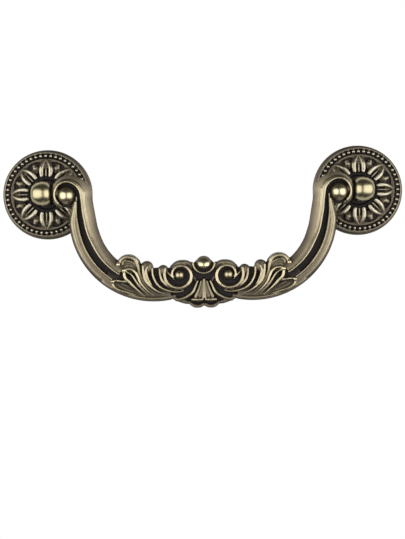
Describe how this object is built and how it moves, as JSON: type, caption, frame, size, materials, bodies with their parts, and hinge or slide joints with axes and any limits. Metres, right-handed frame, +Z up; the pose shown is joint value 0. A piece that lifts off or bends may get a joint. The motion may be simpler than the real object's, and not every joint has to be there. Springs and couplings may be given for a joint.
{
  "type": "cabinet handle",
  "caption": "Antique brass swing bail pull: round rosettes with petals and a beaded rim carry posts with rounded heads, and a carved, fluted bail with scroll ends hangs between them.",
  "frame": {"origin": "midway between the two mounting screws, on the drawer front", "axes": "+X to the right along the drawer front, +Y into the drawer, +Z up; the handle's face looks towards -Y and the bail hangs down along -Z"},
  "size_m": [0.165, 0.0199, 0.0653],
  "materials": {
    "antique_brass": "antique brass: bright rubbed ridges over a dark brown patina in the hollows",
    "pin_steel": "plain turned steel"
  },
  "bodies": {
    "backplates": {"rosette_left": "antique_brass", "rosette_right": "antique_brass", "post_left": "antique_brass", "post_right": "antique_brass"},
    "swing_handle": {"bail": "antique_brass", "hinge_pin_left": "pin_steel", "hinge_pin_right": "pin_steel"}
  },
  "joints": [
    {"name": "bail_swing", "type": "hinge", "parent": "backplates", "child": "swing_handle", "pos_m": [0, -0.015, 0], "axis": [-1, 0, 0], "range_deg": [-14, 196]}
  ]
}
